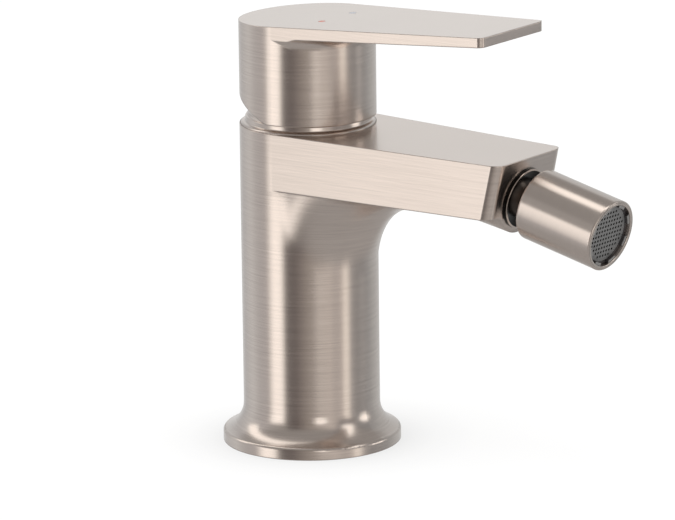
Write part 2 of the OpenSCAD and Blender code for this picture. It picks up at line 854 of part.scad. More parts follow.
// The handle's outer form: a round body that runs out into a flat lever
module handle_form() {
    lever_w = side_y(handle_r, lever_taper, lever_reach);
    intersection() {
        translate([0, 0, handle_low])
            linear_extrude(height = far)
                intersection() {
                    tear_outline(handle_r, lever_taper, lever_reach + cut);
                    translate([lever_reach, 0])
                        corner_outline(1, lever_w, lever_corner_r, lever_taper);
                    translate([lever_reach, 0])
                        corner_outline(-1, lever_w, lever_corner_r, lever_taper);
                }
        union() {
            lever_slab();
            cylinder(r = handle_r, h = handle_top + handle_r * rise + cut);
            lever_root();
        }
        rotate([90, 0, 0])
            translate([0, 0, -far / 2])
                linear_extrude(height = far)
                    polygon([
                        [-far, handle_top - far * rise],
                        [far, handle_top + far * rise],
                        [far, 0],
                        [-far, 0]
                    ]);
    }
}

// The lever between its sloping top and underside
module lever_slab() {
    low = handle_top - lever_root_t;
    slope = rise + lever_thinning;
    rotate([90, 0, 0])
        translate([0, 0, -far / 2])
            linear_extrude(height = far)
                polygon([
                    [0, low],
                    [far / 2, low + slope * far / 2],
                    [far / 2, far],
                    [0, far]
                ]);
}

// Height of the lever's underside at distance x
function lever_low(x) = handle_top - lever_root_t + (rise + lever_thinning) * x;

// Hollow sweep round the handle under the lever, cut back at both sides so that it
// starts from the lever's lower edge where the side leaves the handle
module lever_root() {
    intersection() {
        translate([0, 0, lever_low(handle_r) - lever_root_r])
            rotate_extrude()
                difference() {
                    square([handle_r + lever_root_r, lever_root_r + cut]);
                    translate([handle_r + lever_root_r, 0])
                        circle(r = lever_root_r);
                }
        lever_root_side(1);
        lever_root_side(-1);
    }
}

// The side's part of that sweep: a leaning ring that follows the handle's surface
module lever_root_side(side) {
    start_x = handle_r * sin(lever_taper);
    start_z = lever_low(start_x) - root_start;
    ring_r = (handle_r + lever_root_r) / pow(cos(root_dip), 2);
    shift_y = ring_r - handle_r - lever_root_r + root_inset;
    translate([0, -side * shift_y, start_z + start_x * tan(root_dip)])
        rotate([0, root_dip, 0])
            rotate_extrude()
                difference() {
                    square([2 * ring_r, far / 4]);
                    translate([ring_r, 0])
                        circle(r = lever_root_r);
                }
}

// The hollow under the handle, up to its sloping ceiling
module handle_hollow() {
    roof = handle_top - ceiling_t;
    intersection() {
        cylinder(r = skirt_in_r, h = far);
        rotate([90, 0, 0])
            translate([0, 0, -far / 2])
                linear_extrude(height = far)
                    polygon([
                        [-far, roof - far * rise],
                        [far, roof + far * rise],
                        [far, 0],
                        [-far, 0]
                    ]);
    }
}

// Boss for the stem and tube for the set screw, kept inside the handle's form
module handle_boss() {
    intersection() {
        on_stem() {
            translate([0, 0, boss_start])
                cylinder(r = boss_r, h = far / 8);
            translate([0, 0, screw_z])
                rotate([0, -90, 0])
                    cylinder(r = tube_r, h = far / 8);
        }
        cylinder(r = handle_r - skirt_wall / 2, h = handle_top - ceiling_t / 2);
    }
}

module handle() {
    color(nickel)
        difference() {
            union() {
                difference() {
                    handle_form();
                    handle_hollow();
                }
                handle_boss();
            }
            on_stem() {
                translate([-stem_t / 2 - seat_fit, -stem_w / 2 - seat_fit, 0])
                    cube([stem_t + 2 * seat_fit, stem_w + 2 * seat_fit, stem_bore_top]);
                translate([0, 0, screw_z])
                    rotate([0, -90, 0])
                        cylinder(r = screw_r + seat_fit, h = stem_t + thread_l);
                translate([-stem_t / 2 - thread_l, 0, screw_z])
                    rotate([0, -90, 0])
                        cylinder(r = plug_r + seat_fit, h = far / 8);
            }
            rotate([90, 0, 0])
                translate([0, 0, -far / 2])
                    linear_extrude(height = far)
                        polygon([
                            [0, handle_low],
                            [-far / 4, handle_low + tan(relief_angle) * far / 4],
                            [-far / 4, 0],
                            [0, 0]
                        ]);
            for (side = [-1, 1])
                dot(side, seat_fit);
        }
}

// Grub screw with a hexagon socket
module set_screw() {
    key_r = 1.44;
    color(dark_metal)
        on_stem()
            translate([-stem_t / 2 - lap_gap, 0, screw_z])
                rotate([0, -90, 0])
                    difference() {
                        cylinder(r = screw_r, h = screw_l);
                        translate([0, 0, screw_l / 2])
                            cylinder(r = key_r, h = screw_l, $fn = 6);
                    }
}

// Plug that closes the hole over the set screw, flush with the handle's back
module screw_plug() {
    color(nickel)
        intersection() {
            on_stem()
                translate([0, 0, screw_z])
                    rotate([0, -90, 0])
                        cylinder(r = plug_r, h = far / 8);
            difference() {
                cylinder(r = handle_r - 0.1, h = far);
                translate([plug_l, 0, -cut])
                    cylinder(r = handle_r, h = far);
            }
        }
}

// One round dot, let into the lever's top
module dot(side, grow) {
    translate([dot_x, side * dot_y, handle_top + dot_x * rise])
        rotate([0, -lever_rise, 0])
            translate([0, 0, -dot_h - grow])
                cylinder(r = dot_r + grow, h = dot_h + (grow > 0 ? cut : 0));
}

module hot_dot() {
    color(hot_red)
        dot(-1, 0);
}

module cold_dot() {
    color(cold_blue)
        dot(1, 0);
}

// Rubber ring at the bottom of the socket
module ball_seal() {
    color(rubber_black)
        on_nozzle(-(socket_h + seat_back) / 2)
            o_ring(socket_r - ball_seal_r - 1, ball_seal_r);
}

// Threaded ring that holds the ball, with a dished front
module ball_retainer() {
    color(nickel)
        on_nozzle()
            difference() {
                union() {
                    translate([0, 0, lap_gap])
                        cylinder(r = retainer_r, h = retainer_h - lap_gap);
                    translate([0, 0, -retainer_back])
                        cylinder(r = socket_r - seat_fit, h = retainer_back + retainer_h / 2);
                }
                translate([0, 0, ball_s])
                    sphere(r = cup_r);
                translate([0, 0, ball_s - far])
                    cylinder(r = cup_r, h = far);
                translate([0, 0, lip_s])
                    cylinder(r1 = lip_r, r2 = flare_r, h = dish_s - lip_s);
                translate([0, 0, dish_s - lap_gap])
                    cylinder(r = flare_r, h = retainer_dish + cut);
            }
}

// Seat ring behind the ball, which turns with it
module ball_seat() {
    color(turret_white)
        on_nozzle()
            difference() {
                translate([0, 0, -seat_back])
                    cylinder(r = socket_r - run_fit, h = seat_back - seat_front);
                translate([0, 0, ball_s])
                    sphere(r = cup_r);
                translate([0, 0, -seat_back - cut])
                    cylinder(r = seat_hole_r, h = seat_back);
            }
}

// Ball with its neck and water bore
module swivel_ball() {
    color(dark_metal)
        on_nozzle()
            difference() {
                union() {
                    translate([0, 0, ball_s])
                        sphere(r = ball_r);
                    translate([0, 0, ball_s])
                        cylinder(r = ball_neck_r, h = neck_end - ball_s);
                }
                translate([0, 0, ball_s - 2 * ball_r])
                    cylinder(r = ball_bore_r, h = far);
                translate([-far / 2, -far / 2, ball_s - far - sqrt(pow(ball_r, 2) - pow(seat_hole_r, 2))])
                    cube([far, far, far]);
            }
}

// Rubber washer that seals the neck against the nozzle's back wall
module neck_washer() {
    color(rubber_black)
        on_nozzle(nozzle_s - neck_washer_h)
            ring(ball_neck_r + neck_washer_w, ball_neck_r + seat_fit, neck_washer_h - lap_gap);
}

// Nozzle shell: back wall with the neck's thread, waterway, shoulder and aerator bore
module nozzle_shell() {
    color(nickel)
        on_nozzle()
            rotate_extrude() {
                difference() {
                    union() {
                        translate([0, nozzle_s + nozzle_edge_r])
                            square([nozzle_r, nozzle_l - nozzle_edge_r - nozzle_bevel]);
                        translate([0, nozzle_s])
                            square([nozzle_r - nozzle_edge_r, nozzle_l]);
                        translate([nozzle_r - nozzle_edge_r, nozzle_s + nozzle_edge_r])
                            circle(r = nozzle_edge_r);
                        translate([0, nozzle_end - nozzle_bevel])
                            intersection() {
                                translate([nozzle_r - nozzle_bevel, 0])
                                    circle(r = nozzle_bevel);
                                square([nozzle_r + cut, nozzle_bevel]);
                            }
                    }
                    translate([-cut, nozzle_s - cut])
                        square([ball_neck_r + seat_fit + cut, nozzle_back_t + 2 * cut]);
                    translate([-cut, nozzle_s + nozzle_back_t])
                        square([waterway_r + cut, nozzle_l]);
                    translate([-cut, washer_s])
                        square([bore_r + cut, nozzle_l]);
                }
            }
}

// Flat rubber washer between the aerator and the nozzle's shoulder
module aerator_washer() {
    color(rubber_black)
        on_nozzle(washer_s + lap_gap)
            ring(bore_r - 2 * seat_fit, waterway_r, washer_h - 2 * lap_gap);
}

// Threaded housing of the aerator, with key notches round its front
module aerator_housing() {
    color(dark_metal)
        on_nozzle(aerator_s)
            difference() {
                cylinder(r = bore_r - seat_fit, h = aerator_l);
                translate([0, 0, -cut])
                    cylinder(r = insert_r + seat_fit, h = aerator_l + 2 * cut);
                for (i = [0 : notch_n - 1])
                    rotate([0, 0, i * 360 / notch_n])
                        translate([insert_r / 2, -notch_w / 2, aerator_l - notch_h])
                            cube([bore_r, notch_w, notch_h + cut]);
            }
}

// Jet plate with a ring of holes
module aerator_diffuser() {
    hole_n = 12;
    color(acetal_black)
        on_nozzle(aerator_s + diffuser_gap)
            linear_extrude(height = diffuser_h)
                difference() {
                    circle(r = insert_r);
                    for (i = [0 : hole_n - 1])
                        rotate(i * 360 / hole_n)
                            translate([insert_r * 0.7, 0])
                                circle(r = 0.7, $fn = 24);
                }
}

// Two fine screens
module aerator_screens() {
    color(dark_metal)
        for (step = [0, 1])
            on_nozzle(aerator_s + diffuser_h + screen_gap + step * screen_pitch)
                cylinder(r = insert_r, h = screen_h);
}

// Perforated grid at the nozzle's mouth, its holes in a honeycomb pattern
module aerator_grid() {
    rows = floor(insert_r / grid_pitch);
    limit = insert_r - grid_margin - grid_hole_r;
    color(dark_metal)
        on_nozzle(grid_s)
            linear_extrude(height = grid_h)
                difference() {
                    circle(r = insert_r);
                    for (row = [-rows : rows], col = [-rows : rows])
                        if (grid_pitch * norm([row, col]) < limit)
                            translate([row * grid_pitch, col * grid_pitch])
                                circle(r = grid_hole_r, $fn = 16);
                }
}

body();
base_seal();
cartridge_base();
port_seals();
disc_seals();
fixed_disc();
cartridge_housing();
housing_seal();
cartridge_nut();
trim_ring();
moving_disc();
disc_carrier();
turret();
turret_seal();
stem_pin();
stem();
handle();
set_screw();
screw_plug();
hot_dot();
cold_dot();
ball_seal();
ball_retainer();
ball_seat();
swivel_ball();
neck_washer();
nozzle_shell();
aerator_washer();
aerator_housing();
aerator_diffuser();
aerator_screens();
aerator_grid();
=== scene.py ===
"""Looks of the single lever bidet mixer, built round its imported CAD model."""

import math

import bmesh
import bpy
from mathutils import Matrix, Vector


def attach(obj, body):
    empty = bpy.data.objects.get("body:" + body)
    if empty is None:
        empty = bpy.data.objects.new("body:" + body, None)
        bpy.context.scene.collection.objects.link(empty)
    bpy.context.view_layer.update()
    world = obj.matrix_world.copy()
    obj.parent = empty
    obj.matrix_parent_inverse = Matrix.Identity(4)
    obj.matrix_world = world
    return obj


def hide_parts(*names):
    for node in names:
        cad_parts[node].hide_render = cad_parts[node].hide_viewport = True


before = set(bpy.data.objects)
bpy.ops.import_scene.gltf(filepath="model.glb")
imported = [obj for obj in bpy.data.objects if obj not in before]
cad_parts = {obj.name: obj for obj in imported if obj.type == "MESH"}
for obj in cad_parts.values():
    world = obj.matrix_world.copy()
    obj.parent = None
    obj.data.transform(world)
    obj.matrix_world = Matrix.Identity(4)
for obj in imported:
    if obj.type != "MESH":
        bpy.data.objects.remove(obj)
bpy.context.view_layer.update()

MM = 0.001

# Height of the body's top in millimetres, and lean of the nozzle
BODY_TOP = 109.2
NOZZLE_LEAN = math.radians(12.8)
# Centre of the nozzle's socket in the spout's front face
SOCKET = Vector((88.743, 0, 95.304)) * MM


# Node helpers
class Tree:
    """Short calls that add and join shader nodes."""

    def __init__(self, owner):
        owner.use_nodes = True
        self.tree = owner.node_tree
        self.tree.nodes.clear()

    def add(self, kind, **values):
        node = self.tree.nodes.new("ShaderNode" + kind)
        for key, value in values.items():
            setattr(node, key, value)
        return node

    def link(self, source, target):
        self.tree.links.new(source, target)

    def fill(self, socket, value):
        """Link a socket to another one, or give it a value of its own."""
        if isinstance(value, bpy.types.NodeSocket):
            self.link(value, socket)
        else:
            socket.default_value = value

    def put(self, node, **values):
        for key, value in values.items():
            self.fill(node.inputs[key.replace("_", " ")], value)

    def math(self, operation, first, second=None):
        node = self.add("Math", operation=operation)
        self.fill(node.inputs[0], first)
        if second is not None:
            self.fill(node.inputs[1], second)
        return node.outputs[0]

    def product(self, *factors):
        result = factors[0]
        for factor in factors[1:]:
            result = self.math("MULTIPLY", result, factor)
        return result

    def ramp(self, factor, stops):
        node = self.add("ValToRGB")
        elements = node.color_ramp.elements
        while len(elements) > 1:
            elements.remove(elements[-1])
        elements[0].position, elements[0].color = stops[0][0], rgba(stops[0][1])
        for place, value in stops[1:]:
            elements.new(place).color = rgba(value)
        self.link(factor, node.inputs["Fac"])
        return node.outputs["Color"]

    def slope(self, value, start, end):
        """0 at start and 1 at end, with a soft way between."""
        node = self.add("MapRange", interpolation_type="SMOOTHSTEP")
        self.link(value, node.inputs["Value"])
        node.inputs["From Min"].default_value = min(start, end)
        node.inputs["From Max"].default_value = max(start, end)
        node.inputs["To Min"].default_value = 0.0 if start < end else 1.0
        node.inputs["To Max"].default_value = 1.0 if start < end else 0.0
        return node.outputs["Result"]

    def range(self, value, low, high):
        """Take a value from 0 to 1 to one from low to high."""
        node = self.add("MapRange")
        self.link(value, node.inputs["Value"])
        node.inputs["To Min"].default_value = low
        node.inputs["To Max"].default_value = high
        return node.outputs["Result"]

    def mix(self, factor, under, over):
        """Colour under, covered by colour over as far as the factor says."""
        node = self.add("Mix", data_type="RGBA")
        self.link(factor, node.inputs["Factor"])
        for socket, colour in ((node.inputs[6], under), (node.inputs[7], over)):
            self.fill(socket, rgba(colour) if isinstance(colour, tuple) else colour)
        return node.outputs[2]

    def parts(self, vector):
        """The X, Y and Z of a vector."""
        node = self.add("SeparateXYZ")
        self.link(vector, node.inputs[0])
        return node.outputs

    def length(self, vector):
        node = self.add("VectorMath", operation="LENGTH")
        self.link(vector, node.inputs[0])
        return node.outputs["Value"]


def rgba(colour):
    """Colour with full cover, from three values or one grey."""
    return tuple(colour) + (1,) if isinstance(colour, tuple) else (colour, colour, colour, 1)


def material(name):
    made = bpy.data.materials.new(name)
    return made, Tree(made)


def shine(tree, **values):
    """Principled shader joined to the output."""
    shader = tree.add("BsdfPrincipled")
    tree.put(shader, **values)
    tree.link(shader.outputs[0], tree.add("OutputMaterial").inputs["Surface"])


# Finishes

# Directions across the brush lines of the column and of the nozzle
COLUMN_ACROSS = (0.0, 0.05, 1.0)
NOZZLE_ACROSS = (0.975, 0.05, -0.222)
# Brush lines: length and width in millimetres, detail, seed, and share in the pattern
COARSE_LINES = (24, 0.40, 3.0, 0.3, 0.62)
FINE_LINES = (10, 0.11, 2.0, 1.7, 0.38)
# How much darker and lighter than the plating the lines get, for a streak of 1
LINES_DARKER, LINES_LIGHTER = 1.9, 1.6
# Upward share of a face's direction at which its lines start to fade, and have faded
LEVEL_START, LEVEL_FULL = 0.75, 0.93
# Scale of the grain of moulded pieces
GRAIN = 9000
# Painted shade: the near-black tint put into recesses where shade falls
PAINTED_SHADE_BLACK = (0.012, 0.011, 0.010)
# Half the width in millimetres of the soft way from a tint to its painted shade
PAINTED_SHADE_EDGE = 0.05


def local_place(tree, turned):
    """Object coordinates, turned so that z runs along the nozzle where asked."""
    place = tree.add("TexCoord").outputs["Object"]
    if turned:
        node = tree.add("VectorRotate", rotation_type="Y_AXIS")
        tree.link(place, node.inputs["Vector"])
        node.inputs["Center"].default_value = SOCKET
        node.inputs["Angle"].default_value = -(math.pi / 2 + NOZZLE_LEAN)
        place = node.outputs[0]
    return place


def brush_lines(tree, place, length, width, detail, seed, share):
    """Noise drawn out into long thin lines round the z axis."""
    mapping = tree.add("Mapping")
    tree.link(place, mapping.inputs["Vector"])
    mapping.inputs["Location"].default_value = (seed, seed * 0.7, seed * 1.3)
    across = 1 / (length * MM)
    mapping.inputs["Scale"].default_value = (across, across, 1 / (width * MM))
    noise = tree.add("TexNoise")
    tree.put(noise, Vector=mapping.outputs[0], Scale=1.0, Detail=detail, Roughness=0.6)
    return tree.math("MULTIPLY", noise.outputs["Fac"], share)


def plain_when_level(tree, lines):
    """Nearly even value instead of the lines on faces that look up or down."""
    facing = tree.parts(tree.add("TexCoord").outputs["Normal"])
    level = tree.slope(tree.math("ABSOLUTE", facing["Z"]), LEVEL_START, LEVEL_FULL)
    plain = tree.add("Mix", data_type="FLOAT")
    tree.link(tree.math("MULTIPLY", level, 0.9), plain.inputs["Factor"])
    tree.link(lines, plain.inputs["A"])
    plain.inputs["B"].default_value = 0.5
    return plain.outputs[0]


def painted_shade(tree, place, tint, radius, low, high, dark=PAINTED_SHADE_BLACK):
    """Tint with painted shade round the nozzle's axis, standing in for the shade in recesses.

    It is dark inside the radius below high, and everywhere below low, in millimetres
    from the spout's front face. The place is turned as for the nozzle.
    """
    reach = tree.add("VectorMath", operation="SUBTRACT")
    tree.link(place, reach.inputs[0])
    reach.inputs[1].default_value = SOCKET
    apart = tree.parts(reach.outputs[0])
    flat = tree.add("CombineXYZ")
    for axis in "XY":
        tree.link(apart[axis], flat.inputs[axis])

    def under(value, limit):
        return tree.slope(value, (limit + PAINTED_SHADE_EDGE) * MM, (limit - PAINTED_SHADE_EDGE) * MM)

    inside = under(tree.length(flat.outputs[0]), radius)
    inner = tree.product(inside, under(apart["Z"], high))
    return tree.mix(tree.math("MAXIMUM", inner, under(apart["Z"], low)), tint, dark)


def softened(tree, place, edge, crease):
    """Shading softened over edge millimetres at edges, and far more within the crease.

    The crease says at which height it starts, is full, stops being full and ends, and
    over how many millimetres it softens there.
    """
    soft = tree.add("Bevel", samples=8)
    soft.inputs["Radius"].default_value = edge * MM
    if crease:
        start, full, full_end, end, wide = (value * MM for value in crease)
        height = tree.parts(place)["Z"]
        rise = tree.product(tree.slope(height, start, full), tree.slope(height, end, full_end))
        tree.link(tree.range(rise, edge * MM, wide), soft.inputs["Radius"])
    return soft.outputs[0]


def brushed(
    name, colour, roughness, turned=False, edge=0.55, streak=0.05, crease=None, pit=None
):
    """Brushed plating: fine lines round the axis, satin sheen, softened edges.

    The crease works as in softened. A pit of painted shade holds the radius, low, high and,
    where it isn't black, the dark tint that stands in for the shade in that recess.
    """
    made, tree = material(name)
    place = local_place(tree, turned)
    coarse = brush_lines(tree, place, *COARSE_LINES)
    fine = brush_lines(tree, place, *FINE_LINES)
    lines = tree.math("ADD", coarse, fine)
    if not turned:
        lines = plain_when_level(tree, lines)
    cloud = tree.add("TexNoise")
    tree.put(cloud, Vector=place, Scale=38.0, Detail=2.0)
    darker = tuple(part * (1 - LINES_DARKER * streak) for part in colour)
    lighter = tuple(min(1.0, part * (1 + LINES_LIGHTER * streak)) for part in colour)
    tint = tree.ramp(lines, [(0.32, darker), (0.5, colour), (0.68, lighter)])
    rough = tree.math(
        "ADD",
        tree.range(lines, roughness - 0.05, roughness + 0.05),
        tree.range(cloud.outputs["Fac"], -0.02, 0.02),
    )
    # Painted shade over the plating in a recess
    if pit:
        tint = painted_shade(tree, place, tint, *pit)
    soft = softened(tree, place, edge, crease)
    bump = tree.add("Bump")
    tree.put(bump, Strength=0.10, Distance=0.05 * MM, Height=lines, Normal=soft)
    # The sheen is drawn out across the lines, which is along the axis
    across = tree.add("CombineXYZ")
    for socket, value in zip(across.inputs, NOZZLE_ACROSS if turned else COLUMN_ACROSS):
        socket.default_value = value
    shine(
        tree,
        Base_Color=tint,
        Metallic=1.0,
        Roughness=rough,
        Anisotropic=0.5,
        Normal=bump.outputs[0],
        Tangent=across.outputs[0],
    )
    return made


def moulded(name, colour, roughness, speckle=0.06, bump=0.15, pit=None):
    """Plastic, rubber, ceramic or enamel with a fine grain, and painted shade in a pit as in
    brushed.
    """
    made, tree = material(name)
    place = tree.add("TexCoord").outputs["Object"]
    grain = tree.add("TexNoise")
    tree.put(grain, Vector=place, Scale=GRAIN, Detail=3.0)
    cloud = tree.add("TexNoise")
    tree.put(cloud, Vector=place, Scale=120.0, Detail=2.0)
    darker = tuple(part * (1 - speckle) for part in colour)
    lighter = tuple(min(1.0, part * (1 + speckle)) for part in colour)
    tint = tree.ramp(cloud.outputs["Fac"], [(0.3, darker), (0.7, lighter)])
    # Painted shade over the moulded tint in a recess
    if pit:
        tint = painted_shade(tree, local_place(tree, True), tint, *pit)
    rough = tree.range(grain.outputs["Fac"], roughness - 0.08, roughness + 0.08)
    rise = tree.add("Bump")
    tree.put(rise, Strength=bump, Distance=0.02 * MM, Height=grain.outputs["Fac"])
    shine(tree, Base_Color=tint, Roughness=rough, Normal=rise.outputs[0])
    return made


def nozzle_reach(name):
    """How far a node reaches along the nozzle from the spout's front face, in millimetres."""
    axis = Vector((math.cos(NOZZLE_LEAN), 0, -math.sin(NOZZLE_LEAN)))
    return max((v.co - SOCKET).dot(axis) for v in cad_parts[name].data.vertices) / MM


def plated(name, roughness, **values):
    return brushed(name, (0.745, 0.665, 0.615), roughness, **values)


def bare_metal(name, colour, roughness, **values):
    return brushed(name, colour, roughness, streak=0.04, **values)


# The body's crease, where the neck under the spout bends out of the column
BODY_CREASE = (40, 56, 89.4, 90.0, 7.0)
# Painted shade in the ball retainer's dish and behind its rim: radius, low and high in
# millimetres
RETAINER_SHADE_PIT = (9.75, 0.85, 1.2)
# Depths behind the rims of the aerator's housing and grid that are left without painted shade
HOUSING_LIT, GRID_LIT = 0.2, 0.15
# Dark tint painted as shade deep in the aerator's housing
HOUSING_PAINTED_SHADE = (0.05, 0.045, 0.047)
housing_rim = nozzle_reach("aerator_housing")
grid_rim = nozzle_reach("aerator_grid")
# Painted shade deep in the aerator's housing and in the grid's holes
housing_pit = (0, housing_rim - HOUSING_LIT, housing_rim, HOUSING_PAINTED_SHADE)
grid_pit = (0, grid_rim - GRID_LIT, grid_rim)

nickel = plated("brushed_nickel", 0.23)
body_nickel = plated("body_nickel", 0.23, crease=BODY_CREASE)
nozzle_nickel = plated("nozzle_nickel", 0.21, turned=True, streak=0.015)
# The retainer's plating, with painted shade in its dish round the ball
retainer_nickel = plated("retainer_nickel", 0.21, turned=True, edge=0.2, pit=RETAINER_SHADE_PIT)
# Painted shade: the swivel ball gets a near-black nickel tint for the shade in its socket
dark_nickel = bare_metal("dark_nickel", (0.085, 0.072, 0.064), 0.3, turned=True)
steel = bare_metal("inner_steel", (0.5, 0.5, 0.5), 0.3)
# Painted shade: the aerator's screens get a near-black steel tint for the shade inside the
# aerator
shaded_screen_steel = bare_metal("shaded_screen_steel", (0.08, 0.08, 0.08), 0.35, turned=True)
brass = bare_metal("raw_brass", (0.75, 0.55, 0.25), 0.3)
ceramic = moulded("ceramic", (0.86, 0.85, 0.82), 0.18, bump=0.05, speckle=0.02)
housing = moulded("cartridge_plastic", (0.6, 0.6, 0.58), 0.45)
white_plastic = moulded("turret_plastic", (0.78, 0.78, 0.75), 0.45)
carrier = moulded("carrier_plastic", (0.08, 0.16, 0.32), 0.45)
aerator_grey = moulded("aerator_grey", (0.24, 0.235, 0.23), 0.4, pit=housing_pit)
jet_grey = moulded("jet_grey", (0.02, 0.02, 0.02), 0.5)
grid_grey = moulded("grid_grey", (0.17, 0.17, 0.17), 0.38, pit=grid_pit)
rubber = moulded("seal_rubber", (0.018, 0.018, 0.018), 0.6, speckle=0.15, bump=0.3)
red = moulded("hot_red", (0.60, 0.17, 0.12), 0.35, speckle=0.04, bump=0.05)
blue = moulded("cold_blue", (0.46, 0.49, 0.55), 0.35, speckle=0.04, bump=0.05)

# The nodes that aren't listed are seals and washers of rubber
LOOKS = {
    "body": body_nickel,
    "trim_ring": nickel,
    "handle": nickel,
    "screw_plug": nickel,
    "ball_retainer": retainer_nickel,
    "nozzle_shell": nozzle_nickel,
    "swivel_ball": dark_nickel,
    "stem": steel,
    "stem_pin": steel,
    "set_screw": steel,
    "aerator_screens": shaded_screen_steel,
    "cartridge_nut": brass,
    "fixed_disc": ceramic,
    "moving_disc": ceramic,
    "cartridge_base": housing,
    "cartridge_housing": housing,
    "turret": white_plastic,
    "ball_seat": white_plastic,
    "disc_carrier": carrier,
    "aerator_housing": aerator_grey,
    "aerator_diffuser": jet_grey,
    "aerator_grid": grid_grey,
    "hot_dot": red,
    "cold_dot": blue,
}
for name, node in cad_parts.items():
    node.data.materials.clear()
    node.data.materials.append(LOOKS.get(name, rubber))


# Trim ring, in millimetres and with heights over the body's top
RING_SPIGOT_R, RING_BORE_R, RING_DEPTH = 18.9, 17.5, 2.4
RING_FOOT_R, RING_EDGE_R = 22.6, 0.2
RING_NECK_R, RING_NECK_LOW, RING_ROUND_R, RING_H = 20.3, 2.75, 0.7, 4.2
# Radius of the hole in the ring's top, and underside of the top
RING_HOLE_R, RING_TOP_LOW = 14.2, 2.8


def arc(radius_at, height_at, radius, start, end, steps):
    """Points on an arc round a centre, in millimetres and degrees."""
    angles = [math.radians(start + (end - start) * step / steps) for step in range(steps + 1)]
    return [
        (radius_at + radius * math.cos(angle), height_at + radius * math.sin(angle))
        for angle in angles
    ]


def turned_piece(name, outline, bottom, look, steps=256):
    """Ring turned round the z axis from a closed outline of radii and heights over bottom."""
    made = bmesh.new()
    rings = []
    for step in range(steps):
        angle = 2 * math.pi * step / steps
        along_x, along_y = math.cos(angle), math.sin(angle)
        places = [
            (radius * MM * along_x, radius * MM * along_y, (bottom + height) * MM)
            for radius, height in outline
        ]
        rings.append([made.verts.new(place) for place in places])
    for step, ring in enumerate(rings):
        after = rings[(step + 1) % steps]
        for point in range(len(outline)):
            above = (point + 1) % len(outline)
            made.faces.new((ring[point], after[point], after[above], ring[above]))
    bmesh.ops.recalc_face_normals(made, faces=made.faces)
    for face in made.faces:
        face.smooth = True
    mesh = bpy.data.meshes.new(name)
    made.to_mesh(mesh)
    made.free()
    mesh.set_sharp_from_angle(angle=math.radians(35))
    mesh.materials.append(look)
    piece = bpy.data.objects.new(name, mesh)
    bpy.context.scene.collection.objects.link(piece)
    return piece


ring_spigot = [(RING_SPIGOT_R, -RING_DEPTH), (RING_SPIGOT_R, 0), (RING_FOOT_R, 0)]
ring_edge = arc(RING_FOOT_R, RING_EDGE_R, RING_EDGE_R, -90, 10, 4)
# The foot's bulge, the hollow above it and the small round that ends at the neck
ring_shoulder = (
    arc(21.5, -0.45, 1.35, 22, 80, 12)
    + arc(21.45, 1.3, 0.4, 258, 184, 6)
    + arc(20.75, 2.5, 0.25, 4, 90, 4)
)
ring_neck = [(RING_NECK_R, RING_NECK_LOW)]
ring_neck += arc(RING_NECK_R - RING_ROUND_R, RING_H - RING_ROUND_R, RING_ROUND_R, 0, 90, 8)
ring_inside = [
    (RING_HOLE_R, RING_H),
    (RING_HOLE_R, RING_TOP_LOW),
    (RING_BORE_R, RING_TOP_LOW),
    (RING_BORE_R, -RING_DEPTH),
]
ring_outline = ring_spigot + ring_edge + ring_shoulder + ring_neck + ring_inside
ring = turned_piece("trim_ring_turned", ring_outline, BODY_TOP, nickel)
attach(ring, "mixer_body")
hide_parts("trim_ring")

# Studio: walls all round, with a place for each stop in degrees from the camera to the right
WALLS = [
    (-180, (0.85, 0.855, 0.85)),
    (-174, (0.76, 0.77, 0.77)),
    (-164, (0.66, 0.68, 0.69)),
    (-148, (0.52, 0.53, 0.54)),
    (-116, (0.64, 0.65, 0.65)),
    (-98, (0.51, 0.51, 0.51)),
    (-84, (0.49, 0.48, 0.48)),
    (-70, (0.40, 0.39, 0.38)),
    (-46, (0.34, 0.33, 0.31)),
    (-39, (0.165, 0.15, 0.145)),
    (-26, (0.145, 0.125, 0.12)),
    (-4, (0.335, 0.305, 0.28)),
    (18, (0.44, 0.41, 0.38)),
    (30, (0.63, 0.59, 0.55)),
    (42, (0.51, 0.48, 0.455)),
    (54, (0.56, 0.52, 0.49)),
    (58, (1.08, 1.02, 0.94)),
    (66, (1.00, 0.95, 0.88)),
    (71, (0.42, 0.41, 0.40)),
    (84, (0.28, 0.28, 0.28)),
    (104, (0.275, 0.28, 0.285)),
    (130, (0.45, 0.465, 0.465)),
    (160, (0.56, 0.57, 0.57)),
    (172, (0.60, 0.61, 0.61)),
    (177, (0.82, 0.83, 0.83)),
    (180, (0.85, 0.855, 0.85)),
]
CEILING = (0.32, 0.31, 0.30)
GROUND = (0.37, 0.36, 0.35)
SHADE = (0.24, 0.23, 0.23)
TALL_BOX = (1.40, 1.35, 1.29)
ARCH = (1.42, 1.37, 1.30)
SMALL_BOX = (1.50, 1.45, 1.38)
# Directions square to the arch's plane, and towards the two small boxes
ARCH_SIDE = (0.2120, -0.9410, 0.2640)
SMALL_BOXES = ((0.794, -0.607, 0.04), (0.711, 0.701, 0.06))
# Share of a turn that puts the camera at 0.5 and its right hand side at 0.75
CAMERA_TURN = 0.6456

scene = bpy.context.scene
scene.view_settings.view_transform = "Standard"
world = bpy.data.worlds.new("studio")
scene.world = world
sky = Tree(world)
toward = sky.add("TexCoord").outputs["Generated"]
toward_parts = sky.parts(toward)
height = toward_parts["Z"]
azimuth = sky.math("ARCTAN2", toward_parts["Y"], toward_parts["X"])
turns = sky.math("ADD", sky.math("MULTIPLY", azimuth, 0.5 / math.pi), CAMERA_TURN)
turn = sky.math("FRACT", turns)


def stop(degrees):
    """Place of a direction on the walls' ramp."""
    return (degrees + 180) / 360


def beside(start, end):
    """0 at the first direction and 1 at the second, in degrees from the camera."""
    return sky.slope(turn, stop(start), stop(end))


def along(direction):
    """Cosine of the angle to a direction."""
    node = sky.add("VectorMath", operation="DOT_PRODUCT")
    sky.link(toward, node.inputs[0])
    node.inputs[1].default_value = direction
    return node.outputs["Value"]


